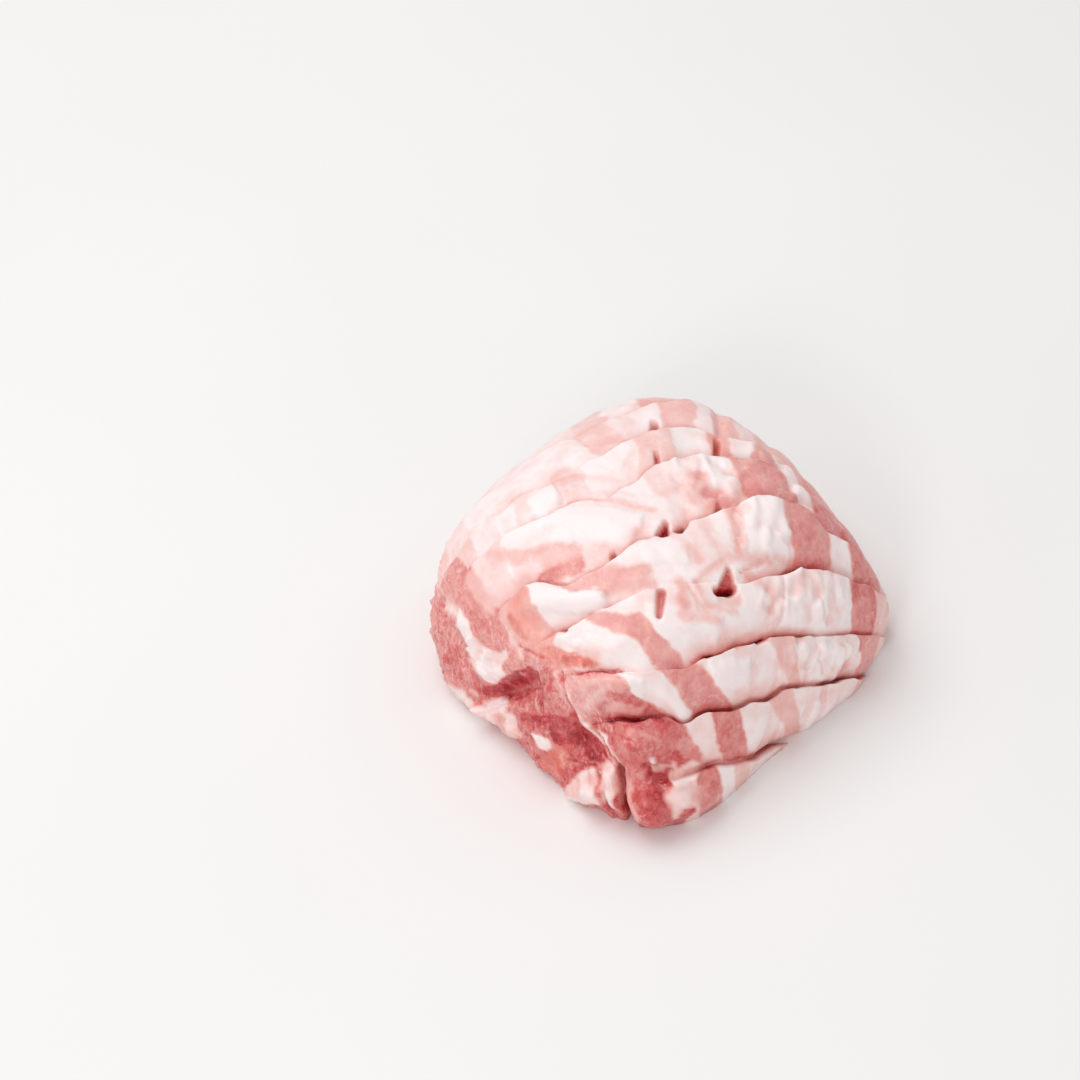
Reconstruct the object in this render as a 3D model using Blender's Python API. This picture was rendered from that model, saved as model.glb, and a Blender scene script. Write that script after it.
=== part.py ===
"""A folded slab of skinless pork belly, scored crosswise and lying in a dome.

X runs along the score cuts (lean end at -X), Y from front to back, Z up.
The slab is bent over a fan of cut planes that meet in a hub line below it, so every
point of the surface is named by two angles: "fan" (0 front, 90 top, 180 back) and
"along" (negative towards the lean end).  Lengths in mm until the mesh is made.
"""
import bpy
import bmesh
import numpy as np

MM = 0.001
HUB_DEPTH = 20.0          # hub line of the cut planes, below the resting face
HALF_LONG = 52.0          # half length of the rounded square footprint
HALF_SHORT = 50.0
FOOT_TURN = 60.0          # the footprint is turned against the cuts
HEIGHT = 56.0
FOOT_POWER = 3.0          # squareness of the footprint
CROWN_POWER = 2.5         # squareness of the crown
TUCK_HEIGHT = 7.0         # the rim rolls in below this height
TUCK_DEPTH = 2.6
LIP_SHARE = 0.35          # a lip rises by this share of its cut's depth
ALONG_LIMIT = 78.0        # the skin is laid this far either way, all below the base
ALONG_STEPS = 60
FRONT_FAN, BACK_FAN = 4.0, 176.0

# Broad swells and dents: along, fan, half-widths in degrees, height in mm
SWELLS = [
    (45, 92, 22, 22, -4.5), (-58, 45, 13, 14, -2.5), (55, 60, 14, 14, 2.0),
    (45, 35, 16, 12, 1.5), (-10, 22, 18, 10, 9.0), (-40, 28, 14, 10, 1.5),
    (0, 90, 30, 20, -3.0), (0, 115, 25, 14, 1.5),
]

# Score cuts from back to front: (along, fan, depth in mm) at a few stations each
CUTS = [
    [(-78, 163, 0), (-20, 161, 2), (10, 162, 3), (40, 160, 2), (78, 158, 1)],
    [(-78, 150, 0), (-30, 148, 2), (0, 150, 3), (30, 149, 3), (78, 146, 1)],
    [(-78, 137, 0), (-30, 135, 2), (0, 138, 3), (30, 136, 3), (78, 132, 1)],
    [(-78, 125, 0), (-30, 122, 2), (0, 125, 2), (30, 124, 3), (78, 118, 1)],
    [(-78, 114, 0), (-25, 110, 1), (0, 112, 1.5), (12, 114, 2), (28, 111, 2), (78, 104, 1)],
    [(-78, 102, 0), (-35, 98, 1), (-20, 98, 1.5), (-5, 99, 1), (4, 103, 1.5), (12, 104, 2),
     (28, 101, 2), (78, 91, 1)],
    [(-78, 90, 0), (-35, 88, 1), (-18, 88, 2.5), (-8, 88, 1), (4, 93, 1.5), (13, 95, 2),
     (22, 93, 3), (32, 88, 3), (45, 83, 2), (78, 77, 1)],
    [(-78, 78, 0), (-40, 76, 0.6), (-25, 75, 2.5), (-18, 73, 3), (-10, 73, 2), (0, 75, 3),
     (10, 78, 3), (20, 79, 4), (30, 77, 5), (42, 74, 4), (55, 69, 2), (78, 66, 1)],
    [(-78, 66, 0), (-28, 63, 0.6), (-18, 64, 2), (-10, 65, 2), (-3, 66, 1), (5, 66, 1.5),
     (15, 66, 3), (22, 66, 5), (35, 66, 5), (50, 64, 4), (78, 60, 2)],
    [(-78, 54, 0), (-28, 55, 0.5), (-20, 54, 1.5), (-7, 53, 0.6), (2, 52, 2.5), (14, 53, 3.5),
     (25, 53, 2.5), (45, 52, 1.5), (78, 48, 1)],
    [(-78, 40, 0), (-25, 44, 0.6), (-17, 44, 2), (-8, 42, 3), (0, 41, 2), (15, 41, 2.5),
     (30, 41, 4), (42, 39, 5), (55, 36, 4), (78, 32, 2)],
    [(-78, 24, 0), (-20, 29, 0.6), (-10, 30, 2), (0, 30, 3), (12, 28, 4), (22, 27, 5),
     (38, 24, 4), (78, 20, 2)],
]

# Lumps and hollows of the lean end: along, fan start, along, fan end, half-width, height
FOLDS = [
    (-31, 26, -26, 31, 5, 2.5),        # outer fat lump at the foot
    (-23, 24, -23, 31, 3, 2.0),        # inner fat lump
    (-19.5, 20, -19.5, 35, 2, -5.0),   # gap beside the front flap
    (-14, 22, -15, 38, 4, 2.0),        # front flap
    (-41, 59, -33, 60, 4, -2.5),       # hollow in the lean face
    (-48, 80, -45, 63, 4, 1.5),        # ridge of fat
    (-55, 56, -50, 47, 5, 2.0),        # lobe at the foot of the lean face
]

# Stations across one strip, from its raised upper lip down into the next cut
ACROSS = [0.0, 0.07, 0.24, 0.56, 0.84]


def ray_directions(fan, along):
    f, a = np.radians(fan), np.radians(along)
    return np.stack([np.sin(a), -np.cos(a) * np.cos(f), np.cos(a) * np.sin(f)], -1)


def dome_radius(rays):
    """Distance from the hub to the smooth dome, by halving."""
    cos_t, sin_t = np.cos(np.radians(FOOT_TURN)), np.sin(np.radians(FOOT_TURN))
    low = np.zeros(rays.shape[:-1])
    high = low + 150.0
    for _ in range(34):
        mid = (low + high) / 2
        x, y = rays[..., 0] * mid, rays[..., 1] * mid
        z = np.maximum(rays[..., 2] * mid - HUB_DEPTH, 0.0)
        across = np.abs(x * cos_t - y * sin_t) / HALF_SHORT
        length = np.abs(x * sin_t + y * cos_t) / HALF_LONG
        plan = (across ** FOOT_POWER + length ** FOOT_POWER) ** (1 / FOOT_POWER)
        inside = plan ** CROWN_POWER + (z / HEIGHT) ** CROWN_POWER < 1
        low, high = np.where(inside, mid, low), np.where(inside, high, mid)
    return low


def swell_height(fan, along):
    total = np.zeros(fan.shape)
    for a, f, wide, tall, height in SWELLS:
        total += height * np.exp(-((along - a) / wide) ** 2 - ((fan - f) / tall) ** 2)
    return total


def fold_height(fan, along):
    total = np.zeros(fan.shape)
    for a0, f0, a1, f1, width, height in FOLDS:
        run = np.array([a1 - a0, f1 - f0])
        share = ((along - a0) * run[0] + (fan - f0) * run[1]) / max(run @ run, 1e-6)
        share = np.clip(share, 0, 1)
        gap = np.hypot(along - a0 - share * run[0], fan - f0 - share * run[1]) / width
        total += height * np.exp(-gap ** 2 * 1.4)
    return total


def cut_line(stations, along):
    """Fan angle and depth of one cut at every along angle, eased between stations."""
    a, fan, depth = np.array(stations, float).T
    spot = np.clip(np.searchsorted(a, along, side="right") - 1, 0, len(a) - 2)
    share = np.clip((along - a[spot]) / (a[spot + 1] - a[spot]), 0, 1)
    ease = share * share * (3 - 2 * share)
    return (fan[spot] + (fan[spot + 1] - fan[spot]) * ease,
            depth[spot] + (depth[spot + 1] - depth[spot]) * ease)


def strip_profile(t, upper_depth, lower_depth):
    """Height over the dome across a strip: lip at the top, sloping into the next cut."""
    rise = np.clip(t / 0.07, 0, 1)
    fall = np.clip((t - 0.07) / 0.93, 0, 1)
    lip = LIP_SHARE * upper_depth
    return -upper_depth * (1 - rise) + lip * rise * (1 - fall) - lower_depth * fall ** 2.2


def skin_points():
    """Grid of points, rows from back to front, columns along the cuts."""
    along = np.linspace(-ALONG_LIMIT, ALONG_LIMIT, ALONG_STEPS + 1)
    lines = [cut_line(cut, along) for cut in CUTS]
    flat = np.zeros(along.shape)
    lines = [(flat + BACK_FAN, flat)] + lines + [(flat + FRONT_FAN, flat)]
    rows = []
    for (upper, upper_depth), (lower, lower_depth) in zip(lines, lines[1:]):
        for t in ACROSS:
            fan = upper + (lower - upper) * t
            rows.append((fan, strip_profile(t, upper_depth, lower_depth)))
    rows.append((lines[-1][0], flat))
    fan = np.array([row[0] for row in rows])
    height = np.array([row[1] for row in rows])
    along = np.broadcast_to(along, fan.shape)
    rays = ray_directions(fan, along)
    radius = dome_radius(rays)
    level = rays[..., 2] * radius - HUB_DEPTH
    tuck = TUCK_DEPTH * np.clip(1 - level / TUCK_HEIGHT, 0, 1) ** 2
    radius = radius + height + swell_height(fan, along) + fold_height(fan, along) - tuck
    points = rays * radius[..., None]
    points[..., 2] -= HUB_DEPTH
    return points


def clear_scene():
    for item in list(bpy.data.objects):
        bpy.data.objects.remove(item, do_unlink=True)


def build_slab():
    points = skin_points()
    down, over = points.shape[:2]
    kept = points[points[..., 2] > 0]
    middle = (kept.min(0) + kept.max(0)) / 2
    points = points - np.array([middle[0], middle[1], 0.0])
    mesh = bmesh.new()
    corners = [mesh.verts.new(p * MM) for p in points.reshape(-1, 3)]
    for r in range(down - 1):
        for c in range(over - 1):
            a = r * over + c
            mesh.faces.new([corners[a], corners[a + over], corners[a + over + 1], corners[a + 1]])
    bmesh.ops.triangulate(mesh, faces=mesh.faces[:])
    everything = mesh.verts[:] + mesh.edges[:] + mesh.faces[:]
    bmesh.ops.bisect_plane(mesh, geom=everything, dist=0.00004, plane_co=(0, 0, 0),
                           plane_no=(0, 0, 1), clear_inner=True)
    rim = [e for e in mesh.edges if e.is_boundary]
    bmesh.ops.remove_doubles(mesh, verts=list({v for e in rim for v in e.verts}), dist=0.0001)
    rim = [e for e in mesh.edges if e.is_boundary]
    bmesh.ops.holes_fill(mesh, edges=rim, sides=0)
    bmesh.ops.triangulate(mesh, faces=[f for f in mesh.faces if len(f.verts) > 3])
    bmesh.ops.recalc_face_normals(mesh, faces=mesh.faces[:])
    data = bpy.data.meshes.new("pork_belly_slab")
    mesh.to_mesh(data)
    mesh.free()
    return bpy.data.objects.new("pork_belly_slab", data)


def flesh_material():
    material = bpy.data.materials.new("raw_pork_belly")
    material.use_nodes = True
    shader = material.node_tree.nodes["Principled BSDF"]
    shader.inputs["Base Color"].default_value = (0.78, 0.48, 0.44, 1.0)
    shader.inputs["Roughness"].default_value = 0.4
    return material


clear_scene()
slab = build_slab()
slab.data.materials.append(flesh_material())
home = bpy.data.collections.new("pork_belly_slab")
bpy.context.scene.collection.children.link(home)
home.objects.link(slab)
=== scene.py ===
"""A folded, scored slab of raw pork belly on a pale studio floor.

The slab is laid over a fan of cut planes that meet in a hub line below it.  Each point
of its skin has a "fan" angle (0 front, 90 top, 180 back) and an "along" angle (negative
towards the lean end); a degree is about 1.2 mm of skin.  Lengths are in mm until the mesh
is made.
"""
import bpy
import bmesh
import numpy as np
from math import radians
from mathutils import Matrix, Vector


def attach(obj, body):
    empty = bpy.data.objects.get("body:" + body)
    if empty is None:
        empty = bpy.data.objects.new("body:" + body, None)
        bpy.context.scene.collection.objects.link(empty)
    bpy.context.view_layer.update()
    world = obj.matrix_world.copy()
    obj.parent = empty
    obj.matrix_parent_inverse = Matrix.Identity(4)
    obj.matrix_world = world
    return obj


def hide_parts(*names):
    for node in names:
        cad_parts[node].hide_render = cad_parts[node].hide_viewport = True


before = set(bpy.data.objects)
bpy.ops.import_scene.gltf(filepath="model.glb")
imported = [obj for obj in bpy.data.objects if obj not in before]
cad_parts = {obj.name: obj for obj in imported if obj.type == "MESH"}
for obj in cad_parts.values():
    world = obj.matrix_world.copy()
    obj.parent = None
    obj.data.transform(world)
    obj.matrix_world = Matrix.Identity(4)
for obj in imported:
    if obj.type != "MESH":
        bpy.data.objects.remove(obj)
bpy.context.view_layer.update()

MM = 0.001
HUB_DEPTH = 20.0                 # hub line under the base
HALF_LONG, HALF_SHORT, HEIGHT = 52.0, 50.0, 56.0
FOOT_TURN = 60.0                 # degrees that the footprint is turned by
FOOT_POWER, CROWN_POWER = 3.0, 2.5   # 2 is an ellipse, more is squarer
TUCK_HEIGHT, TUCK_DEPTH = 7.0, 2.6   # the foot rolls in below this height, by this much
SEARCH_REACH, HALVINGS = 150.0, 26   # how the dome's surface is found
CENTRE = (0.37, -4.27)           # middle of the footprint, taken off so it sits at zero
ALONG_LIMIT = 78.0
FRONT_FAN, BACK_FAN = 4.0, 176.0

# Columns of the mesh: along angles of each span and its number of columns
COLUMN_SPANS = [(-ALONG_LIMIT, -60, 20), (-60, -30, 76), (-30, 30, 190), (30, 60, 56)]
LAST_SPAN = (60, ALONG_LIMIT, 14)

# Rows of the mesh in each strip: strips from this one on face the front and get more
FIRST_FINE_STRIP = 5
FINE_ROWS, COARSE_ROWS = 24, 11
FINE_LIP = [0, .015, .03, .045, .06, .08, .105]
COARSE_LIP = [0, .03, .06, .1]
FACET_START = 0.135

LEAN_SPREAD = 0.9                # degrees over which one block's colour turns into the next
BLOCK_SPREAD = 1.6               # and its height
BLOCK_STEP = 0.25                # mm that a block may stand proud or low
EDGE_WANDER, EDGE_BEND, EDGE_NIBBLE = 7.0, 2.6, 1.3  # mm, sizes of waves in painted borders
BACK_FROM, BACK_RUN = 104, 20    # fan angle where the back begins, and degrees it sets in over
FADE_FROM, FADE_RUN, FADE_SHARE = 42, 14, 0.5  # where cuts get shallower along, and by how much

BLUSH_LOW, BLUSH_HIGH = 0.1, 0.36    # patches with a lean share between these are blushes
BLUSH_SOFT, BORDER_SOFT = 1.9, 0.8   # degrees that blushes and other borders fade over
WARM_SOFT, CRUMB_SOFT = 3, 2.5
GROOVE_FROM, GROOVE_RUN = 0.15, 3.0  # mm under the dome where cuts begin to turn pink, partly the lean in them and partly painted shade
GROOVE_RED_AND_SHADE, GROOVE_SHARE = 0.88, 0.55
CREASE_SPREAD = 0.42                 # degrees
PLATE_TOP_WHITENING, RIM_SHADE = 0.07, 0.05  # lean taken off on top of the raised plates, and painted pink shade beside their edges

# Unevenness: size and noise seed, height in mm over fat, and how much more over the lean end
UNEVENNESS = [
    (15.0, 11, 0.6, 0.0), (6.0, 12, 0.24, 0.7), (2.6, 13, 0.1, 0.4), (1.2, 14, 0.04, 0.16),
]

# Broad swells and dents: along, fan, half-widths in degrees, height in mm
SWELLS = [
    (45, 92, 22, 22, -4.5), (-58, 45, 13, 14, -2.5), (55, 60, 14, 14, 2.0),
    (45, 35, 16, 12, 1.5), (-10, 22, 18, 10, 9.0), (-40, 28, 14, 10, 1.5),
    (0, 90, 30, 20, -3.0), (0, 115, 25, 14, 1.5),
]

# Score cuts from back to front: (along, fan, depth in mm) at a few stations each
CUTS = [
    [(-78, 163, 0), (-20, 161, 2), (10, 162, 3), (40, 160, 2), (78, 158, 1)],
    [(-78, 150, 0), (-30, 148, 2), (0, 150, 3), (30, 149, 3), (78, 146, 1)],
    [(-78, 137, 0), (-30, 135, 2), (0, 138, 3), (30, 136, 3), (78, 132, 1)],
    [(-78, 125, 0), (-30, 122, 2), (0, 125, 2), (30, 124, 3), (78, 118, 1)],
    [(-78, 114, 0), (-25, 110, 1), (0, 112, 1.5), (12, 114, 2), (28, 111, 2), (78, 104, 1)],
    [(-78, 102, 0), (-35, 99, .5), (-24, 98, 1), (-16, 97, 1.4), (-8, 101, .8), (0, 104, 1.5),
     (6, 104.5, 2), (12, 106, 2), (18, 103, 2.5), (28, 101, 2), (78, 91, 1)],
    [(-78, 90, 0), (-35, 91, .2), (-20, 90, .7), (-14, 91, 1), (-9, 90, .7), (-4, 92, 1.2),
     (4, 96, 2), (14, 96.5, 2.5), (22, 95, 3), (32, 90, 3), (45, 84, 2), (78, 77, 1)],
    [(-78, 78, 0), (-40, 76, .4), (-27, 75.5, 2), (-20, 72.5, 3), (-13, 73, 3), (-2, 76.5, 3),
     (6, 78.5, 3), (12, 80, 3), (20, 81, 4), (26, 79.5, 5), (35, 77, 5), (45, 73, 4),
     (55, 68, 2), (78, 66, 1)],
    [(-78, 66, 0), (-30, 64, 0), (-22, 64.5, 1.5), (-14, 65.5, 1.9), (-6, 67, .4), (4, 66.5, .3),
     (10, 65, .4), (17, 66, 1.8), (24, 65.5, 5), (35, 65.5, 4.6), (50, 64, 2.6), (78, 60, 1)],
    [(-78, 54, 0), (-28, 55.5, .1), (-21, 55, .5), (-14, 53, .4), (-9, 52, .1),
     (-3, 51.5, .9), (3, 52, 2.2), (10, 52.8, 2.6), (16, 54, 2.8), (24, 53, 2.4), (30, 53, 1.0),
     (45, 52, 1.5), (78, 48, 1)],
    [(-78, 40, 0), (-25, 44.5, .1), (-19, 44.5, .9), (-13, 43, 1.3), (-8, 43, 1.0),
     (-5, 41.3, 1.3), (0, 41.6, 2.0), (6, 41, 1.7), (14, 41, 1.6), (20, 42, 1.6), (28, 41.2, 2.3),
     (38, 39.5, 2.8), (52, 37, 2), (78, 32, .5)],
    [(-78, 24, 0), (-14, 31, .2), (-8, 31, 1), (0, 30.3, 2.5), (6, 29, 2.8), (14, 26.5, 3.6),
     (20, 25.5, 2.8), (32, 24, .8), (50, 22, .4), (78, 20, .2)],
]

# Flesh of each strip from the lean end on: (along where it starts, lean 0-1, slant)
# 0 is white fat, 0.3 pale pink, 0.55 pink lean, 0.75 red lean, 1 darkest red.
STRIP_FLESH = [
    [(-78, .5, 0), (-50, .3, 0), (-20, .1, 3), (0, .45, 2), (14, .05, 2), (34, .5, 2)],
    [(-78, .5, 0), (-45, .1, 0), (-24, .4, 3), (-8, .05, 2), (12, .5, 3), (24, .05, 2)],
    [(-78, .55, 0), (-50, .2, 0), (-30, .05, 3), (-5, .34, 2), (8, .05, 2), (30, .5, 2)],
    [(-78, .5, 0), (-48, .16, 0), (-22, .08, 3), (-4, .26, 2), (10, .05, 2), (26, .45, 2)],
    [(-78, .5, 0), (-45, .16, 0), (-30, .09, 0), (-12, .22, 2), (-3, .07, 0), (4.5, .3, 0),
     (13.5, .06, 2), (20, .22, 2), (26, .4, 2)],
    [(-78, .55, 0), (-50, .26, 0), (-44, .14, 0), (-36, .05, 0), (-11, .2, 4), (-4, .1, 3),
     (1, .04, 0), (6.5, .28, 1), (13, .06, 0), (17, .3, -1), (22, .14, 0), (26, .35, 0)],
    [(-78, .6, 0), (-48, .5, 0), (-41, .2, 0), (-36, .05, 0), (-25, .16, 0), (-22, .02, 0),
     (-16, .14, 2), (-11, .04, 0), (0, .2, 0), (7.5, .04, 0), (14.5, .35, 0), (18.5, .08, 0),
     (24, .45, -3), (28, .06, 0), (33, .5, 0)],
    [(-78, .6, 0), (-49, .55, 0), (-37.5, .12, -2), (-30, .01, 0), (2, .09, 0), (6, .01, 0),
     (12.5, .03, 0), (16.5, .5, 2), (27, .02, 4), (33, .62, -2)],
    [(-78, .62, 0), (-35, .42, 2), (-28, .04, 3), (-3, .02, 4), (2, .1, 6), (6, .03, 4),
     (12, .2, 3), (14.5, .01, 0), (23, .52, 2), (33.5, .03, 2), (39, .6, 2), (52, .4, 0)],
    [(-78, .65, 0), (-27, .35, 0), (-22, .05, 0), (-1, .08, 0), (3, .02, 0), (13, .07, 3),
     (18, .01, 0), (37, .64, 3), (46, .3, 3), (62, .5, 0)],
    [(-78, .7, 0), (-26, .6, 0), (-13, .02, 8), (-8.5, .5, 6), (-1, .02, 8), (8, .06, -2),
     (15, .26, 6), (20, .05, 5), (24, .03, 3), (43, .5, 3), (52, .2, 0)],
    [(-78, .65, 0), (-5, .1, 2), (.5, .57, 2), (7.5, .08, 2), (15, .3, 9), (21, .08, 9),
     (31, .22, 1), (33.5, .1, 0), (46, .4, 0)],
    [(-78, .68, 0), (-10, .2, 0), (-4, .6, 0), (.5, .05, 3), (4, .28, 3), (9, .12, 2),
     (20, .3, 0), (32, .12, 0)],
]

# Patches laid over the strips: lean 0-1, then along, fan, half-width at both ends
PATCHES = [
    # lean end, upper muscle and the wedge of fat that runs down it
    (.54, -45, 95, 5, -42, 78, 5), (.54, -41, 78, 4, -36, 62, 6), (.64, -58, 82, 5, -53, 62, 4.5),
    (.12, -66, 75, 3, -61, 56, 4), (.3, -33, 74, 3, -29, 64, 3),
    (.16, -50, 95, 1.2, -47.5, 86, 1.2), (.02, -46.2, 84, 1.8, -46.5, 74, 3.0),
    (.02, -47, 72, 3.7, -44.5, 65.5, 3.6), (.06, -44.5, 65, 3.4, -43, 62.5, 2.2),
    (.12, -43, 67.5, 1.5, -39, 66, 1.6), (.16, -38.5, 83, .5, -37.5, 76, .6),
    (.56, -41, 69.5, .7, -38.5, 67.4, .6), (.2, -35, 71, .5, -34, 63, .5),
    (.56, -33, 72, .8, -31, 66, 1.0),
    # lower lean end
    (.68, -53, 64, 2.6, -52.5, 58.5, 2.6), (.66, -50, 40, 6, -40, 36, 6),
    (.66, -43, 53, 5, -29, 50, 6.5), (.8, -50, 61.5, 1.6, -46, 59, 3.0),
    (.86, -46, 59, 3.0, -35, 57.2, 3.6), (.76, -42, 56.5, 3, -33, 54.5, 2.4),
    (.8, -41, 49, 1.2, -30, 46.5, 1.2), (.12, -58.5, 56, 2.6, -49.5, 55, 3.4),
    (.14, -54, 50, 4.2, -47.5, 48.5, 3.4), (.22, -52, 44.5, 2.4, -46, 44, 1.6),
    (.88, -31, 43, 3.6, -23.5, 39.5, 4.2), (.8, -31, 45, 2.2, -25, 46, 1.4),
    (.74, -39, 33, 4.6, -31, 35.5, 4.5), (.06, -38.4, 43.2, .9, -37, 40.4, 2.0),
    (.52, -32.6, 38, .5, -33.4, 34, .8), (.09, -35, 24, 2.2, -25.5, 29.5, 4.2),
    (.1, -21.3, 34, 1.2, -20.8, 26, 2.2),
    # red flaps between the lean end and the strips
    (.52, -27, 60, 2.6, -17.5, 57.2, 1.9), (.72, -24.5, 58.6, .7, -19.5, 56.8, .8),
    (.42, -23, 51, 4.2, -13, 48, 3), (.66, -17, 49.2, .9, -12, 47.4, 1.3),
    (.28, -21.5, 52, .4, -15, 52.6, .4), (.25, -22, 48, .4, -17.5, 51, .4),
    (.9, -19, 44.4, .35, -9, 43, .3), (.66, -17.5, 39, 4, -8.5, 37, 3.4),
    (.5, -14.5, 41.5, .4, -10, 39.5, .4), (.85, -12.5, 32, 1.8, -11.5, 28, 2.4),
    (.74, -17, 26, 4, -13, 19, 5), (.42, -17.4, 31, .6, -16.6, 23, .8),
    (.5, -6, 37, 1.6, -3, 33, 1.6),
    # thin silvery membrane down the edge of the flaps
    (.14, -27, 56, .4, -24.6, 50.5, .7), (.12, -24.6, 50.5, .7, -24.6, 45.5, .7),
    (.08, -24.2, 44.6, .9, -21.2, 40.6, 1.3), (.1, -20.8, 40, .9, -18.6, 33.5, .7),
    (.16, -18.6, 33.5, .6, -18.4, 26, .5),
    # marbled fat at the foot of the flaps
    (.06, -12.3, 35.6, .5, -12, 33.6, .6), (.1, -11.8, 33.5, .6, -8.4, 33.1, .7),
    (.04, -7.8, 30.6, 1.9, -4.6, 30.6, 1.9), (.15, -9.4, 27, 2, -6, 25, 2.2),
    (.82, -6, 23, 1, -9, 19, 2),
    # diagonal bands of fat and lean
    (.02, -24, 62.4, 1.2, -14, 57, 2.9), (.02, -14, 57, 2.9, -9.5, 50, 2.8),
    (.02, -9.5, 50, 2.8, -4.4, 43.2, 1.8), (.42, -16.5, 64, 1.1, -10.5, 60.4, 1.8),
    (.45, -9.6, 60.4, 1.9, -5, 52.5, 2.2), (.01, -26, 73.8, .6, -22.5, 70.5, 3),
    (.01, -24, 69.3, 2.6, -14.6, 67.3, 1.7), (.3, -29, 72, 1.4, -27, 65, 1.6),
    # blushing layers in the white crown
    (.48, -25, 76.9, 1.6, -18.6, 77.4, 2.7), (.26, -23, 80, 1.6, -17, 80, 1.4),
    (.24, -33.5, 89, 1.0, -27, 84, 1.4), (.24, -27, 84, 1.4, -20, 81, 1.6),
    (.2, -14.5, 92, .8, -8, 88.5, .7), (.2, -8, 88.5, .7, -1, 84, .8),
    (.14, -12.5, 93.5, .5, -4, 88.5, .5), (.2, -14.5, 99, 2.2, -14.5, 94, 1.6),
    (.17, 1.5, 94.5, 2.0, 3, 89, 2.2), (.24, 8.5, 90, 2.2, 8, 86.5, 2.6),
    (.24, 11.5, 84.5, 2.6, 12.5, 83, 2.2), (.16, -24, 98.5, 1.6, -22, 96.5, 1.6),
    (.3, -39, 88, 1.5, -37.5, 79, 1.8), (.16, -5, 79.5, .5, -7, 76, .4),
    # blushing layers in the rows below it
    (.36, -22.5, 74.2, .9, -19, 71.6, 1.2), (.34, -19, 71.6, 1.2, -6, 70, 1.3),
    (.3, -13, 68.6, 1.4, -5.5, 67.6, 1.4), (.2, 1, 76, 1.0, 5, 70.6, 1.0),
    (.18, 7.5, 77.5, .9, 8.6, 71.5, 1.0), (.26, 13.4, 79.3, .9, 12.6, 70, 1.1),
    (.3, -.4, 66.5, .9, -.6, 60.5, 1.0), (.28, -.6, 60.5, .9, 5, 58.6, .8),
    (.26, 3, 66, .7, 3.6, 61.5, .6), (.24, 3.6, 61.5, .6, 9, 59.6, .6),
    (.26, 5, 67.6, .9, 10, 70, .8), (.22, 10, 70, .8, 18, 69.6, .9),
    (.22, 13.5, 66.5, 1.0, 17.5, 61.5, .9), (.22, 3, 53.8, .5, 12, 55, .7),
    (.28, 12, 55, .5, 24, 54.6, .6),
    # lean at the far end
    (.14, 58, 96, 1.2, 54, 74, 1.6), (.12, 64, 110, 1.0, 60, 84, 1.4), (.6, 68, 96, 2.5, 64, 70, 3),
    (.14, 56, 128, 1.2, 60, 104, 1.4), (.58, 50, 140, 2.6, 54, 116, 2.4),
    (.12, 62, 62, 1.6, 60, 44, 1.6), (.55, 41.5, 58, 3.3, 45, 50, 2.8),
    (.5, 47, 47, 2.8, 51, 40, 4), (.8, 24.5, 67.6, .9, 33, 66.6, .7), (.3, 17, 91, .8, 21, 94, 1),
]

# Windows where cuts from both faces meet: depth mm, lean share painted in them (the red inside and
# painted shade), then along, fan, half-width at both ends
WINDOWS = [
    (3.6, .97, -.5, 77.4, 1.15, .8, 80.2, .3), (3.2, .96, 2.6, 77.3, .9, 3.7, 77.9, .75),
    (2.6, .8, -10.5, 75.2, .55, -10.3, 76.2, .3), (2.2, .55, -5.2, 61.2, .45, -3.8, 65.2, .7),
    (2.2, .7, 8.6, 64.4, 1.7, 9.6, 67.8, .3), (4.0, .95, 6.4, 63.8, .6, 9.4, 64.1, .5),
    (.4, .2, 7.4, 61.8, 1.3, 9.6, 61.8, 1.3), (2.8, .65, 10.6, 79.8, .3, 12.2, 83, .45),
    (3.2, .72, 4.7, 104.8, .9, 5.3, 108.2, .5), (2.6, .75, 3.2, 95.9, .3, 3.5, 98.8, .3),
    (3.0, .74, 15, 96.6, .35, 16.3, 102, .5), (2.6, .93, 1.9, 52.1, .5, 2.9, 52.2, .45),
    (2.8, .93, 12.8, 52.9, .45, 14.8, 53.6, .55), (3.2, .9, 21.3, 66, .5, 23.2, 67.2, .55),
    (1.6, .75, -23.4, 63.9, .25, -22.6, 63.5, .3),
]

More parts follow.
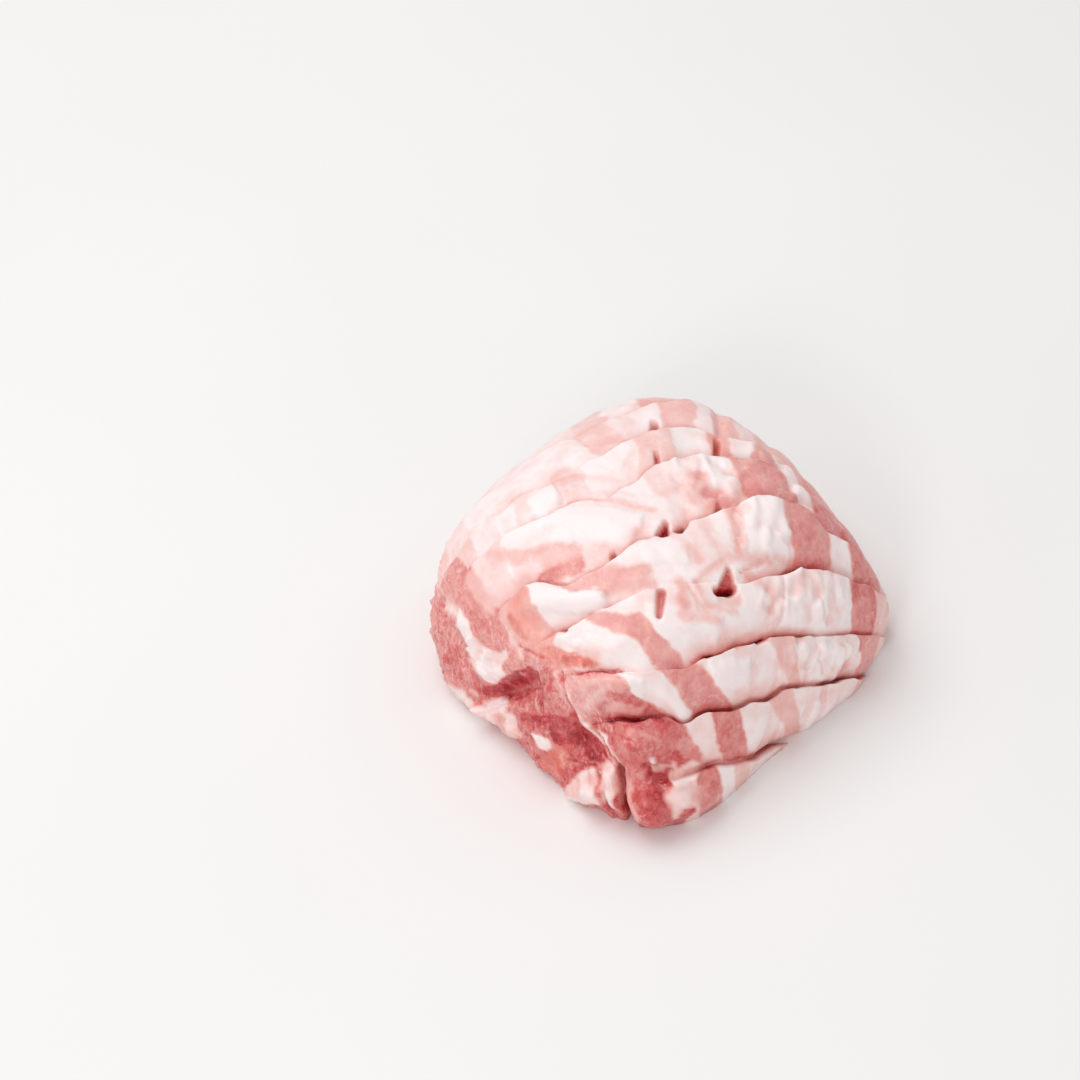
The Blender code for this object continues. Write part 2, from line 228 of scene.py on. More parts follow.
# Lumps, ridges and hollows: height mm, then along, fan, half-width at both ends
RELIEF = [
    (3.2, -34, 25, 4, -26, 29, 4.2), (2.4, -21.3, 33, 1.5, -20.8, 26, 2.2),
    (-5.0, -18.9, 34, .6, -18.9, 20, .9), (-2.4, -23.4, 33, .5, -23.2, 24, .5),
    (2.4, -14, 22, 4, -15, 38, 3.5), (-3.8, -46, 58.6, 3.2, -34, 57, 3.4),
    (1.6, -46, 82, 2, -46.5, 68, 4), (2.2, -58, 57, 3, -51, 49, 5.5),
    (-2.6, -31, 43, 4, -23.5, 39.5, 4.4), (1.4, -38.4, 43.2, 1.4, -37, 40.6, 2.2),
    (1.0, -27, 56, .6, -24.6, 50.5, .8), (1.0, -24.6, 50.5, .8, -24.6, 45.5, .9),
    (1.1, -23.6, 44, 1, -20.6, 40, .9), (1.1, -20.4, 40, .9, -18.3, 27, .8),
    (1.6, -24, 52, 4, -13, 50, 3), (1.8, -17, 40, 3, -8, 38, 3.4), (-1.6, -13, 34, .6, -9, 32, .6),
    (1.8, -7.8, 30.6, 2, -4.6, 30.6, 2), (1.2, -9.6, 27, 2, -6, 25, 2),
    (1.2, -12.3, 35.6, .6, -12, 33.6, .7), (1.2, -24, 62.4, 1.6, -14, 57, 3.2),
    (1.4, -14, 57, 3.2, -4.6, 43.4, 2.4), (1.0, -25, 71, 3, -15, 67.4, 2),
    (-1.2, 24, 68, 1.2, 34, 67, 1), (1.3, 21, 79, 2.5, 17, 79, 2.5),
    (1.2, 23.5, 66.8, .7, 23.8, 64.6, .7), (1.3, 4, 118, 4.5, 13, 113, 5),
    (-1.5, 18.5, 112, 1.6, 17.5, 104, 1.2), (1.4, 24, 104, 3, 25, 98, 3),
    (-1.2, 30, 100, 1.2, 29, 93, 1), (1.0, -13, 50.5, 1.2, -18, 52, 1.4),
]

# Flat plates of flesh with square corners: height mm, then along, fan, half-width of the two ends
PLATES = [
    (1.3, -29, 73, 2.2, -14, 66.8, 2.0),                       # white block in front of the crown
    (.8, -29, 92.5, 4.6, -17.5, 91.5, 5.0), (1.0, -19, 87, 4.0, -5, 80, 4.2),
    (.5, -13, 103, 4.2, -3, 99, 4.2), (.5, 11, 91.5, 4.4, 16.5, 89.5, 5.2),
    (.6, -12, 72.8, 1.8, 2.5, 73.2, 3.0), (.9, 14.5, 76, 4.6, 23, 74.5, 4.6),
    (.8, -7.5, 60.5, 3.4, 5, 56.5, 2.8), (1.0, 20.5, 60.5, 4.4, 31, 59, 4.6),
    (1.0, 2, 49, 1.6, 10, 47.6, 3), (.7, 18.5, 47.5, 4, 25, 47, 4), (1.1, 28, 47, 4.4, 38, 45, 4.6),
    (1.0, 8.5, 34.5, 4, 13.5, 33, 4.6), (.8, 20, 32.5, 5, 25.5, 32, 5),
    (.8, 30, 31.5, 4.6, 37, 31, 5), (1.3, -22.5, 50.5, 3.4, -11, 47.6, 3.4),
    (1.3, -17.5, 39.5, 3.2, -9, 38, 4.2), (1.3, -16, 29.5, 3.0, -13.5, 19, 4),
]

# Creases: depth mm and the lean share painted in the bottom (red flesh and painted shade), then
# along, fan at both ends
CREASES = [
    (.3, .2, -16.5, 97, -16, 92), (.3, .3, 14.2, 79.5, 12.8, 73), (.25, .2, -7, 75.5, -5, 80),
    (.25, .16, -26, 83.5, -17, 80.5), (.3, .2, 27, 63.5, 30, 57), (.3, .16, 20, 63, 19, 56.5),
    (.3, .2, 28, 51, 31, 44), (.3, .2, 36, 50, 39, 43), (.3, .3, 1, 66, 3, 60),
    (.3, .3, 3, 66.5, 9, 70), (.7, .55, 24, 68, 34, 67), (.5, .42, 12, 67.5, 16.5, 69.4),
    (.3, .62, -1, 51.8, 10, 53), (.4, .75, 10, 53, 17, 54.2), (.3, .66, 17, 54.2, 26, 53.4),
    (.5, .9, -22, 54.8, -14, 53.4), (.6, .92, -19, 44.3, -8.5, 43), (.8, .8, -25.6, 56, -25.6, 46),
    (1.2, .85, -23, 44, -18.9, 34), (1.5, .95, -18.6, 34, -18.6, 22), (1.0, .8, -24, 33, -24, 24),
    (.9, .8, -14, 34.5, -9, 33.5), (.8, .75, -30, 56, -36, 47), (.8, .8, -31, 36, -24, 34),
    (.6, .7, -28, 60, -34, 66), (.5, .6, -13, 50, -20, 47), (.5, .62, -9, 39, -17, 41),
]

# Crumbly, uneven fat: along, fan, half-width at both ends
CRUMBLY = [
    (18, 78, 4, 21, 73, 4), (18, 61, 4, 32, 60, 5), (24, 50, 4, 38, 47, 5), (8, 92, 4, 12, 88, 4),
    (14, 91, 4, 15, 86, 4), (-8, 31, 3, -5, 26, 4), (-46, 75, 4, -45, 65, 4),
    (-35, 25, 4, -22, 29, 5), (28, 90, 3, 31, 84, 3), (-56, 54, 4, -50, 47, 5),
]

# Where the flesh has a warm orange cast
WARM = [
    (-27, 60, 2, -18, 57, 1.6), (-38, 33, 3.4, -33, 37, 2.6), (-31, 72, 3, -28, 63, 2.4),
    (9, 82.5, 1, 12, 83, 1.2), (15, 97, 1, 16, 103, 1.5),
]


def grid_noise(points, size, seed):
    """Smooth value noise from -1 to 1 with features of the given size in mm."""
    p = points / size + seed * 17.31
    cell = np.floor(p).astype(np.int64)
    part = p - cell
    ease = part ** 3 * (part * (part * 6 - 15) + 10)
    total = np.zeros(p.shape[:-1])
    for corner in range(8):
        step = np.array([corner & 1, corner >> 1 & 1, corner >> 2 & 1])
        c = cell + step
        mixed = c[..., 0] * 73856093 ^ c[..., 1] * 19349663 ^ c[..., 2] * 83492791 ^ seed * 2654435
        mixed = (mixed ^ mixed >> 13) * 1274126177 & 0x7fffffff
        mixed = (mixed ^ mixed >> 16) * 668265263 & 0x7fffffff
        weight = np.prod(np.where(step == 1, ease, 1 - ease), axis=-1)
        total += weight * (mixed / 0x3fffffff - 1)
    return total


def smooth_step(x):
    """0 up to 0, 1 from 1 on, and an eased rise between."""
    x = np.clip(x, 0, 1)
    return x * x * (3 - 2 * x)


def ray_directions(fan, along):
    """Unit vectors from the hub towards places on the skin."""
    f, a = np.radians(fan), np.radians(along)
    return np.stack([np.sin(a), -np.cos(a) * np.cos(f), np.cos(a) * np.sin(f)], -1)


def dome_radius(rays):
    """Distance from the hub to the smooth dome, by halving."""
    cos_t, sin_t = np.cos(np.radians(FOOT_TURN)), np.sin(np.radians(FOOT_TURN))
    low = np.zeros(rays.shape[:-1])
    high = low + SEARCH_REACH
    for _ in range(HALVINGS):
        mid = (low + high) / 2
        x, y = rays[..., 0] * mid, rays[..., 1] * mid
        z = np.maximum(rays[..., 2] * mid - HUB_DEPTH, 0.0)
        across = np.abs(x * cos_t - y * sin_t) / HALF_SHORT
        length = np.abs(x * sin_t + y * cos_t) / HALF_LONG
        plan = (across ** FOOT_POWER + length ** FOOT_POWER) ** (1 / FOOT_POWER)
        inside = plan ** CROWN_POWER + (z / HEIGHT) ** CROWN_POWER < 1
        low, high = np.where(inside, mid, low), np.where(inside, high, mid)
    return low


def swell_height(fan, along):
    """Height in mm of all the broad swells together."""
    total = np.zeros(fan.shape)
    for a, f, wide, tall, height in SWELLS:
        total += height * np.exp(-((along - a) / wide) ** 2 - ((fan - f) / tall) ** 2)
    return total


def cut_line(stations, along):
    """Fan angle and depth of one cut at every along angle, eased between stations."""
    a, fan, depth = np.array(stations, float).T
    spot = np.clip(np.searchsorted(a, along, side="right") - 1, 0, len(a) - 2)
    share = smooth_step((along - a[spot]) / (a[spot + 1] - a[spot]))
    return (fan[spot] + (fan[spot + 1] - fan[spot]) * share,
            depth[spot] + (depth[spot + 1] - depth[spot]) * share)


def tapered_gap(along, fan, a0, f0, w0, a1, f1, w1):
    """Distance in degrees from the middle of a tapered stroke, and its half-width there."""
    run_a, run_f = a1 - a0, f1 - f0
    ahead = (along - a0) * run_a + (fan - f0) * run_f
    share = np.clip(ahead / (run_a ** 2 + run_f ** 2 + 1e-9), 0, 1)
    width = w0 + (w1 - w0) * share
    return np.hypot(along - a0 - share * run_a, fan - f0 - share * run_f), width


def strokes_cover(strokes, along, fan, soft):
    """How much tapered strokes cover each place, 0 to 1, fading over soft degrees."""
    cover = np.zeros(fan.shape)
    for stroke in strokes:
        gap, width = tapered_gap(along, fan, *stroke)
        cover = np.maximum(cover, smooth_step((width - gap) / soft + 0.5))
    return cover


def plate_inside(along, fan, a0, f0, w0, a1, f1, w1):
    """How far inside a square-ended plate, in degrees: negative is outside it."""
    run_a, run_f = a1 - a0, f1 - f0
    length = np.hypot(run_a, run_f)
    ahead = ((along - a0) * run_a + (fan - f0) * run_f) / length
    aside = np.abs((along - a0) * run_f - (fan - f0) * run_a) / length
    width = w0 + (w1 - w0) * np.clip(ahead / length, 0, 1)
    return np.minimum(width - aside, np.minimum(ahead, length - ahead) + 0.5)


def strip_profile(t, upper_depth, lower_depth):
    """Height over the dome across a strip, from its upper cut at t 0 to its lower one at 1.

    It starts in the groove, rises to a lip, tilts away as a flat facet and ends in a steep cut.
    """
    rise = smooth_step(t / 0.05)
    lip = (0.5 * upper_depth + 0.1) * (1 - t) ** 1.3
    tilt = -lower_depth * np.clip((t - 0.2) / 0.8, 0, 1) ** 2.2
    cut = -0.75 * lower_depth * smooth_step((t - 0.86) / 0.18)
    return -upper_depth * 1.9 * (1 - rise) + rise * (lip + tilt + cut)


def lip_overhang(t, upper_depth):
    """Degrees that the lip leans over the groove above it, and the groove runs in under it."""
    lip = smooth_step(t / .05) * (1 - smooth_step((t - .08) / .25))
    groove = 1 - smooth_step(t / .03)
    return 0.45 * upper_depth * lip - 0.35 * upper_depth * groove


def line_noise(along, size, seed):
    """Noise along one line of the skin, with features of the given size in degrees."""
    flat = np.zeros(along.shape)
    return grid_noise(np.stack([along, flat, flat], -1), size, seed)


def ragged_edge(along, seed):
    """Degrees by which an edge strays from its cut line, in bends and small nicks."""
    return 0.5 * line_noise(along, 5.0, seed) + 0.22 * line_noise(along, 1.8, seed + 20)


def strip_flesh(bands, along, t):
    """Lean share along one strip, with soft, slanted borders between blocks."""
    value = np.full(along.shape, bands[0][1], float)
    for before, (start, lean, slant) in zip(bands, bands[1:]):
        value += (lean - before[1]) * smooth_step((along - start - slant * t) / LEAN_SPREAD + 0.5)
    return value


def block_steps(bands, along, t, seed):
    """Each block of a strip stands a little proud of or below the next one."""
    heights = np.random.default_rng(seed).uniform(-BLOCK_STEP, BLOCK_STEP, len(bands))
    value = np.full(along.shape, heights[0])
    for index, (start, _, slant) in enumerate(bands[1:], 1):
        step = smooth_step((along - start - slant * t) / BLOCK_SPREAD + 0.5)
        value += (heights[index] - heights[index - 1]) * step
    return value


def strip_rows():
    """Every row of the mesh: its fan angles, heights, strip and place in it, and overhang."""
    spans = [np.linspace(*span, endpoint=False) for span in COLUMN_SPANS]
    along_line = np.concatenate(spans + [np.linspace(*LAST_SPAN)])
    flat = np.zeros(along_line.shape)
    # the cuts close up here and there, and get shallower towards both ends
    fading = 1 - FADE_SHARE * smooth_step((np.abs(along_line) - FADE_FROM) / FADE_RUN)
    lines = [(flat + BACK_FAN, flat)]
    for index, cut in enumerate(CUTS):
        fan, depth = cut_line(cut, along_line)
        closing = 0.75 + 0.6 * line_noise(along_line, 7.0, 80 + index)
        lines.append((fan, depth * closing * fading))
    lines.append((flat + FRONT_FAN, flat))
    fans, heights, places, overhangs = [], [], [], []
    for index, ((upper, upper_depth), (lower, lower_depth)) in enumerate(zip(lines, lines[1:])):
        fine = index >= FIRST_FINE_STRIP
        facet = np.linspace(FACET_START, 1, FINE_ROWS if fine else COARSE_ROWS, endpoint=False)
        stations = np.concatenate([FINE_LIP if fine else COARSE_LIP, facet])
        # the last strip has none below it to end at, so it gets its own last row
        if index == len(lines) - 2:
            stations = np.append(stations, 1.0)
        jag, sag = ragged_edge(along_line, 40 + index), ragged_edge(along_line, 41 + index)
        for t in stations:
            fans.append(upper + jag + (lower + sag - upper - jag) * t)
            steps = block_steps(STRIP_FLESH[index], along_line, t, index) * smooth_step(t / .06)
            heights.append(strip_profile(t, upper_depth, lower_depth) + steps)
            places.append((index, t))
            overhangs.append(lip_overhang(t, upper_depth))
    fan = np.array(fans)
    along = np.broadcast_to(along_line, fan.shape).copy()
    return fan, along, np.array(heights), places, np.array(overhangs)


def skin():
    """Points of the skin as a grid, with the flesh values that go with them, painted shade in cuts,
    creases, holes and hollows included.
    """
    fan, along, height, places, overhang = strip_rows()
    rays = ray_directions(fan, along)
    radius = dome_radius(rays)
    base = rays * radius[..., None]

    # everything painted on the skin follows slightly wandering angles, more so on the back
    wander = grid_noise(base, EDGE_WANDER, 3)
    back = smooth_step((fan - BACK_FROM) / BACK_RUN)
    a_soft = along + (0.6 + 1.3 * back) * wander
    a_soft += (0.4 + 0.4 * back) * grid_noise(base, EDGE_BEND, 4)
    a_soft += 0.3 * grid_noise(base, EDGE_NIBBLE, 7)
    f_soft = fan + 0.4 * grid_noise(base, EDGE_WANDER, 5) + 0.3 * grid_noise(base, EDGE_BEND, 6)
    f_soft += 0.25 * grid_noise(base, EDGE_NIBBLE, 8)
    lean = np.array([strip_flesh(STRIP_FLESH[strip], a_soft[row], t)
                     for row, (strip, t) in enumerate(places)])
    for value, *stroke in PATCHES:
        gap, width = tapered_gap(a_soft, f_soft, *stroke)
        # blushes fade out, while clean fat and lean have sharper borders
        soft = BLUSH_SOFT if BLUSH_LOW < value < BLUSH_HIGH else BORDER_SOFT
        lean += (value - lean) * smooth_step((width - gap) / soft + 0.5)
    warm = strokes_cover(WARM, a_soft, f_soft, WARM_SOFT)

    # the cut faces, groove floors and lower parts of the strips are painted pinker the deeper they
    # lie: partly the lean in the cuts, partly painted shade
    groove = np.clip((-GROOVE_FROM - height) / GROOVE_RUN, 0, 1)
    lean = lean + groove * GROOVE_SHARE * np.clip(GROOVE_RED_AND_SHADE - lean, 0, 1)
    # how far into the lean end, which reaches further round low down than on the crown
    meaty = smooth_step((-along - 13 - 25 * smooth_step((fan - 60) / 16)) / 8)
    for rise, *stroke in RELIEF:
        gap, width = tapered_gap(along, fan, *stroke)
        height += rise * np.exp(-(gap / width) ** 2 * 1.3)
    for size, seed, fatty, more in UNEVENNESS:
        height += (fatty + more * meaty) * grid_noise(base, size, seed)
    # folds between sheets of muscle, drawn out along the fan
    sheet = np.stack([along * 1.2 + 2.0 * wander, fan * 0.45, 0 * fan], -1)
    folds = 1.5 * np.abs(grid_noise(sheet, 3.4, 21)) + 0.6 * np.abs(grid_noise(sheet, 1.5, 22))
    height -= meaty * (folds - 0.6)
    crumb = strokes_cover(CRUMBLY, along, fan, CRUMB_SOFT)
    clots = grid_noise(base, 3.2, 31)
    height += crumb * (0.85 * clots + 0.45 * grid_noise(base, 1.6, 32))
    # the hollows between clots of crumbly fat are painted pinker: painted shade
    lean -= 0.26 * crumb * np.minimum(clots, 0) * (lean < 0.3)
    raised = np.zeros(fan.shape)
    for rise, *stroke in PLATES:
        inside = plate_inside(a_soft, f_soft, *stroke)
        step = rise * smooth_step(inside / 0.9 + 0.5) * (0.55 + 0.45 * np.clip(inside / 3, 0, 1))
        raised = np.where(np.abs(step) > np.abs(raised), step, raised)
        # painted pink shade in a thin band just outside each raised plate's edge
        lean += RIM_SHADE * np.exp(-((inside + 1.1) / 0.9) ** 2) * (lean < 0.4) * (rise > 0)
    height += raised
    # the raised plates are painted whiter, the more so the higher they stand
    lean -= PLATE_TOP_WHITENING * np.clip(raised, 0, 1) * (lean < 0.3)
    # creases are sunk and painted redder along their line: red flesh and painted shade
    for depth, red_and_shade, a0, f0, a1, f1 in CREASES:
        gap, _ = tapered_gap(a_soft, f_soft, a0, f0, 1, a1, f1, 1)
        line = np.exp(-(gap / CREASE_SPREAD) ** 2)
        height -= depth * line
        lean += (red_and_shade - lean) * 0.8 * line * (lean < red_and_shade)
    # windows are sunk and painted dark red: the lean inside and painted shade
    for depth, red_and_shade, *stroke in WINDOWS:
        gap, width = tapered_gap(along, fan, *stroke)
        hole = smooth_step((width - gap) / 0.7 + 0.6)
        height -= depth * hole
        lean += (red_and_shade - lean) * hole

    level = rays[..., 2] * radius - HUB_DEPTH
    tuck = TUCK_DEPTH * np.clip(1 - level / TUCK_HEIGHT, 0, 1) ** 2
    rays = ray_directions(fan + overhang, along)
    radius = radius + height + swell_height(fan, along) - tuck
    points = rays * radius[..., None]
    points[..., 2] -= HUB_DEPTH
    return points, points[..., 2] < 0, {"lean": lean, "warm": warm, "meaty": meaty}


def build_slab():
    """The slab as one closed mesh with a flat underside, and its flesh values as attributes."""
    points, below, values = skin()
    down, over = below.shape
    index = np.arange(down * over).reshape(down, over)
    corners = [index[:-1, :-1], index[1:, :-1], index[1:, 1:], index[:-1, 1:]]
    quads = np.stack(corners, -1).reshape(-1, 4)
    quads = quads[~below.reshape(-1)[quads].all(axis=1)]
    used, quads = np.unique(quads, return_inverse=True)
    quads = quads.reshape(-1, 4)
    xyz = points.reshape(-1, 3)[used] - np.array([CENTRE[0], CENTRE[1], 0])
    mesh = bpy.data.meshes.new("scored_belly")
    mesh.from_pydata((xyz * MM).tolist(), [], quads.tolist())
    for name, field in values.items():
        layer = mesh.attributes.new(name, "FLOAT", "POINT")
        layer.data.foreach_set("value", field.reshape(-1)[used].astype(np.float32))
    skin_mesh = bmesh.new()
    skin_mesh.from_mesh(mesh)
    # cut it level with the base and close the cut with one face
    everything = skin_mesh.verts[:] + skin_mesh.edges[:] + skin_mesh.faces[:]
    bmesh.ops.bisect_plane(skin_mesh, geom=everything, dist=0.00001, plane_co=(0, 0, 0),
                           plane_no=(0, 0, 1), clear_inner=True)
    bmesh.ops.holes_fill(skin_mesh, edges=[e for e in skin_mesh.edges if e.is_boundary], sides=0)
    bmesh.ops.recalc_face_normals(skin_mesh, faces=skin_mesh.faces[:])
    skin_mesh.to_mesh(mesh)
    skin_mesh.free()
    mesh.shade_smooth()
    slab = bpy.data.objects.new("scored_belly", mesh)
    bpy.context.scene.collection.objects.link(slab)
    return slab


def linear(hex_colour):
    """sRGB hex to a linear RGBA colour."""
    parts = [int(hex_colour[i:i + 2], 16) / 255 for i in (0, 2, 4)]
    red_green_blue = [c / 12.92 if c <= 0.04045 else ((c + 0.055) / 1.055) ** 2.4 for c in parts]
    return (*red_green_blue, 1.0)


def add_node(tree, kind, settings=None, **links):
    """A node with its settings, and its inputs either linked to sockets or set to values.

    An input goes by its name, or by its number after an i.
    """
    node = tree.nodes.new(kind)
    for name, value in (settings or {}).items():
        setattr(node, name, value)
    for name, value in links.items():
        numbered = name[0] == "i" and name[1:].isdigit()
        socket = node.inputs[int(name[1:]) if numbered else name.replace("_", " ")]
        if isinstance(value, bpy.types.NodeSocket):
            tree.links.new(value, socket)
        else:
            socket.default_value = value
    return node


# Flesh colours by lean share
FLESH_COLOURS = [
    (0.00, "FAEBEA"),   # clean fat
    (0.10, "F7DBD8"),   # fat with a pink blush
    (0.22, "F2C5BF"),   # pale pink border
    (0.40, "ECA9A2"),   # pale lean
    (0.55, "DF8C87"),   # pink lean
    (0.70, "D15C5A"),   # red lean
    (0.86, "B52B35"),   # wet red lean
    (1.00, "86121E"),   # depth of a cut: dark red lean and painted shade
]
WARM_TINT = "F08C74"

# Pattern scales per metre, from the size of what they draw
MOIST_SCALE = 160.0       # moist patches 6 mm across
CLOUD_SCALE = 200.0       # clouding 5 mm across
THREAD_SCALE = 260.0      # marbling about 4 mm apart
BLOTCH_SCALE = 420.0      # blotches in the lean 2.4 mm across
WEB_SCALE = 420.0         # meshes of connective tissue 2.4 mm wide
FIBRE_SCALE = 1500.0      # muscle fibres 0.7 mm thick, drawn coarser than the real ones
FIBRE_TURN, FIBRE_STRETCH = (0.5, 0.2, 0.5), (1.0, 0.34, 0.4)  # under 1 draws the pattern out


def moist_pork():
    """Raw pork belly: white fat and fibrous lean, moist, with a soft uneven gloss."""
    material = bpy.data.materials.new("moist_raw_pork")
    material.use_nodes = True
    tree = material.node_tree
    shader = tree.nodes["Principled BSDF"]
    place = add_node(tree, "ShaderNodeTexCoord").outputs["Object"]
    lean = add_node(tree, "ShaderNodeAttribute", {"attribute_name": "lean"}).outputs["Fac"]
    warm = add_node(tree, "ShaderNodeAttribute", {"attribute_name": "warm"}).outputs["Fac"]
    meaty = add_node(tree, "ShaderNodeAttribute", {"attribute_name": "meaty"}).outputs["Fac"]

    cloud = add_node(tree, "ShaderNodeTexNoise", Vector=place, Scale=CLOUD_SCALE,
                     Detail=2.0).outputs["Fac"]
    stretched = add_node(tree, "ShaderNodeMapping", Vector=place, Rotation=FIBRE_TURN,
                         Scale=FIBRE_STRETCH).outputs[0]
    fibre = add_node(tree, "ShaderNodeTexNoise", Vector=stretched, Scale=FIBRE_SCALE, Detail=3.0,
                     Roughness=0.6, Distortion=1.4).outputs["Fac"]
    marble = add_node(tree, "ShaderNodeTexNoise", Vector=place, Scale=THREAD_SCALE, Detail=4.0,
                      Roughness=0.6, Distortion=0.8).outputs["Fac"]
    blotch = add_node(tree, "ShaderNodeTexNoise", Vector=place, Scale=BLOTCH_SCALE, Detail=4.0,
                      Roughness=0.62, Distortion=1.0).outputs["Fac"]

    # clouding shifts the share of lean everywhere, fibres and blotches more the leaner it is
    cloud_shift = add_node(tree, "ShaderNodeMath", {"operation": "MULTIPLY_ADD"}, i0=cloud,
                           i1=0.28, i2=-0.15).outputs[0]
    blotch_swing = add_node(tree, "ShaderNodeMath", {"operation": "MULTIPLY_ADD"}, i0=blotch,
                            i1=0.75, i2=-0.38).outputs[0]
    fibre_swing = add_node(tree, "ShaderNodeMath", {"operation": "MULTIPLY_ADD"}, i0=fibre,
                           i1=0.34, i2=-0.17).outputs[0]
    swing = add_node(tree, "ShaderNodeMath", {"operation": "ADD"}, i0=fibre_swing,
                     i1=blotch_swing).outputs[0]
    lean_swing = add_node(tree, "ShaderNodeMath", {"operation": "MULTIPLY"}, i0=swing,
                          i1=lean).outputs[0]
    share = add_node(tree, "ShaderNodeMath", {"operation": "ADD"}, i0=lean,
                     i1=cloud_shift).outputs[0]
    share = add_node(tree, "ShaderNodeMath", {"operation": "ADD", "use_clamp": True}, i0=share,
                     i1=lean_swing).outputs[0]
    # pale marbling threads through the lean
    thread = add_node(tree, "ShaderNodeMapRange", {"interpolation_type": "SMOOTHSTEP"},
                      Value=marble, From_Min=0.56, From_Max=0.74, To_Min=0.0,
                      To_Max=0.4).outputs[0]
    kept = add_node(tree, "ShaderNodeMath", {"operation": "SUBTRACT"}, i0=1.0, i1=thread).outputs[0]
    share = add_node(tree, "ShaderNodeMath", {"operation": "MULTIPLY"}, i0=share,
                     i1=kept).outputs[0]
    # fine web of connective tissue, only over the lean end
    web = add_node(tree, "ShaderNodeTexNoise", Vector=stretched, Scale=WEB_SCALE, Detail=5.0,
                   Roughness=0.68, Distortion=1.2).outputs["Fac"]
    web = add_node(tree, "ShaderNodeMath", {"operation": "SUBTRACT"}, i0=web, i1=0.5).outputs[0]
    web = add_node(tree, "ShaderNodeMath", {"operation": "ABSOLUTE"}, i0=web).outputs[0]
    web = add_node(tree, "ShaderNodeMapRange", {"interpolation_type": "SMOOTHSTEP"}, Value=web,
                   From_Min=0.0, From_Max=0.035, To_Min=0.4, To_Max=0.0).outputs[0]
    # the web fades out over wet, dark lean
    dry = add_node(tree, "ShaderNodeMapRange", Value=lean, From_Min=0.62, From_Max=0.82,
                   To_Min=1.0, To_Max=0.1).outputs[0]
    web = add_node(tree, "ShaderNodeMath", {"operation": "MULTIPLY"}, i0=web, i1=dry).outputs[0]
    web = add_node(tree, "ShaderNodeMath", {"operation": "MULTIPLY"}, i0=web, i1=meaty).outputs[0]
    web = add_node(tree, "ShaderNodeMath", {"operation": "SUBTRACT"}, i0=1.0, i1=web).outputs[0]
    share = add_node(tree, "ShaderNodeMath", {"operation": "MULTIPLY"}, i0=share, i1=web).outputs[0]

    ramp = tree.nodes.new("ShaderNodeValToRGB")
    stops = ramp.color_ramp.elements
    while len(stops) < len(FLESH_COLOURS):
        stops.new(0.5)
    for stop, (position, colour) in zip(stops, FLESH_COLOURS):
        stop.position = position
        stop.color = linear(colour)
    tree.links.new(share, ramp.inputs[0])
    warmth = add_node(tree, "ShaderNodeMath", {"operation": "MULTIPLY"}, i0=warm, i1=0.4).outputs[0]
    colour = add_node(tree, "ShaderNodeMix", {"data_type": "RGBA"}, i0=warmth, i6=ramp.outputs[0],
                      i7=linear(WARM_TINT)).outputs[2]
    tree.links.new(colour, shader.inputs["Base Color"])

    # Moist patches are glossier than the rest
    wet = add_node(tree, "ShaderNodeTexNoise", Vector=place, Scale=MOIST_SCALE, Detail=2.0,
                   Distortion=0.5).outputs["Fac"]
    gloss = add_node(tree, "ShaderNodeMapRange", Value=wet, From_Min=0.35, From_Max=0.65,
                     To_Min=0.42, To_Max=0.6).outputs[0]
    # lean is wetter than fat
    wetness = add_node(tree, "ShaderNodeMath", {"operation": "MULTIPLY"}, i0=lean,
                       i1=0.26).outputs[0]
    gloss = add_node(tree, "ShaderNodeMath", {"operation": "SUBTRACT"}, i0=gloss,
                     i1=wetness).outputs[0]
    tree.links.new(gloss, shader.inputs["Roughness"])
    bump = add_node(tree, "ShaderNodeBump", Height=fibre, Strength=0.16, Distance=0.0003)
    tree.links.new(bump.outputs[0], shader.inputs["Normal"])
    shader.inputs["Subsurface Weight"].default_value = 0.18
    shader.inputs["Subsurface Radius"].default_value = (1.0, 0.45, 0.35)
    shader.inputs["Subsurface Scale"].default_value = 0.002
    shader.inputs["Coat Weight"].default_value = 0.14
    shader.inputs["Coat Roughness"].default_value = 0.22
    return material


# Studio, in metres, degrees and watts
FLOOR_HALF = 2
CAMERA_PLACE, CAMERA_TURN = (-0.0984, -0.4944, 0.5311), (45.75, 4.32, -12.19)
SENSOR_WIDTH, LENS = 36.0, 95.6  # mm
SKY_STRENGTH = 0.62
LAMP_AIM = (0, 0, 0.03)
LAMPS = [("key", (-0.30, 0.30, 0.95), 0.9, 4.6), ("front", (-0.45, -0.75, 0.55), 0.25, 1.9)]


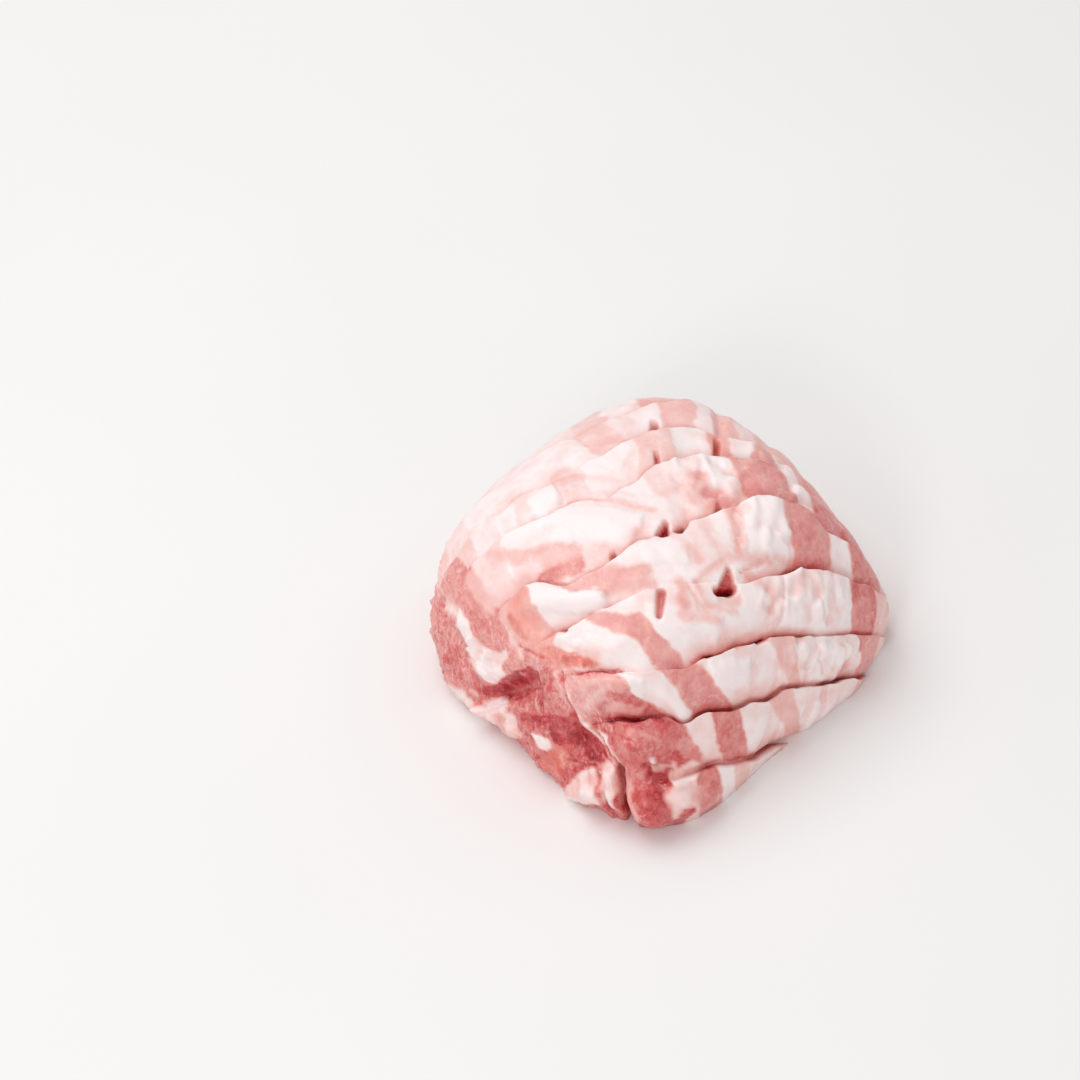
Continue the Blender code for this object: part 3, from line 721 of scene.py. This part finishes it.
def studio_floor():
    """Matt white painted floor, barely clouded."""
    material = bpy.data.materials.new("matt_studio_white")
    material.use_nodes = True
    tree = material.node_tree
    shader = tree.nodes["Principled BSDF"]
    place = add_node(tree, "ShaderNodeTexCoord").outputs["Object"]
    cloud = add_node(tree, "ShaderNodeTexNoise", Vector=place, Scale=6.0, Detail=2.0).outputs["Fac"]
    tone = add_node(tree, "ShaderNodeMix", {"data_type": "RGBA"}, i0=cloud, i6=linear("ECEBEA"),
                    i7=linear("F2F1F0")).outputs[2]
    tree.links.new(tone, shader.inputs["Base Color"])
    shader.inputs["Roughness"].default_value = 0.7
    mesh = bpy.data.meshes.new("studio_floor")
    half = FLOOR_HALF
    corners = [(-half, -half, 0), (half, -half, 0), (half, half, 0), (-half, half, 0)]
    mesh.from_pydata(corners, [], [(0, 1, 2, 3)])
    mesh.materials.append(material)
    floor = bpy.data.objects.new("studio_floor", mesh)
    bpy.context.scene.collection.objects.link(floor)
    return floor


def soft_lamp(name, place, size, power):
    """A round lamp of the given width, turned to the slab."""
    data = bpy.data.lights.new(name, "AREA")
    data.shape, data.size, data.energy = "DISK", size, power
    lamp = bpy.data.objects.new(name, data)
    bpy.context.scene.collection.objects.link(lamp)
    lamp.location = place
    lamp.rotation_euler = (Vector(LAMP_AIM) - Vector(place)).to_track_quat("-Z", "Y").to_euler()


def set_stage():
    """Camera, white surroundings and two soft lamps."""
    scene = bpy.context.scene
    scene.view_settings.view_transform = "Standard"
    camera = bpy.data.objects.new("camera", bpy.data.cameras.new("camera"))
    scene.collection.objects.link(camera)
    camera.location = CAMERA_PLACE
    camera.rotation_euler = [radians(turn) for turn in CAMERA_TURN]
    camera.data.sensor_width = SENSOR_WIDTH
    camera.data.lens = LENS
    camera.data.clip_start = 0.01
    scene.camera = camera
    world = bpy.data.worlds.new("studio")
    world.use_nodes = True
    sky = world.node_tree.nodes["Background"]
    sky.inputs["Color"].default_value = (1, 1, 1, 1)
    sky.inputs["Strength"].default_value = SKY_STRENGTH
    scene.world = world
    for lamp in LAMPS:
        soft_lamp(*lamp)


set_stage()
studio_floor()
slab = build_slab()
slab.data.materials.append(moist_pork())
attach(slab, "root")
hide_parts("pork_belly_slab")
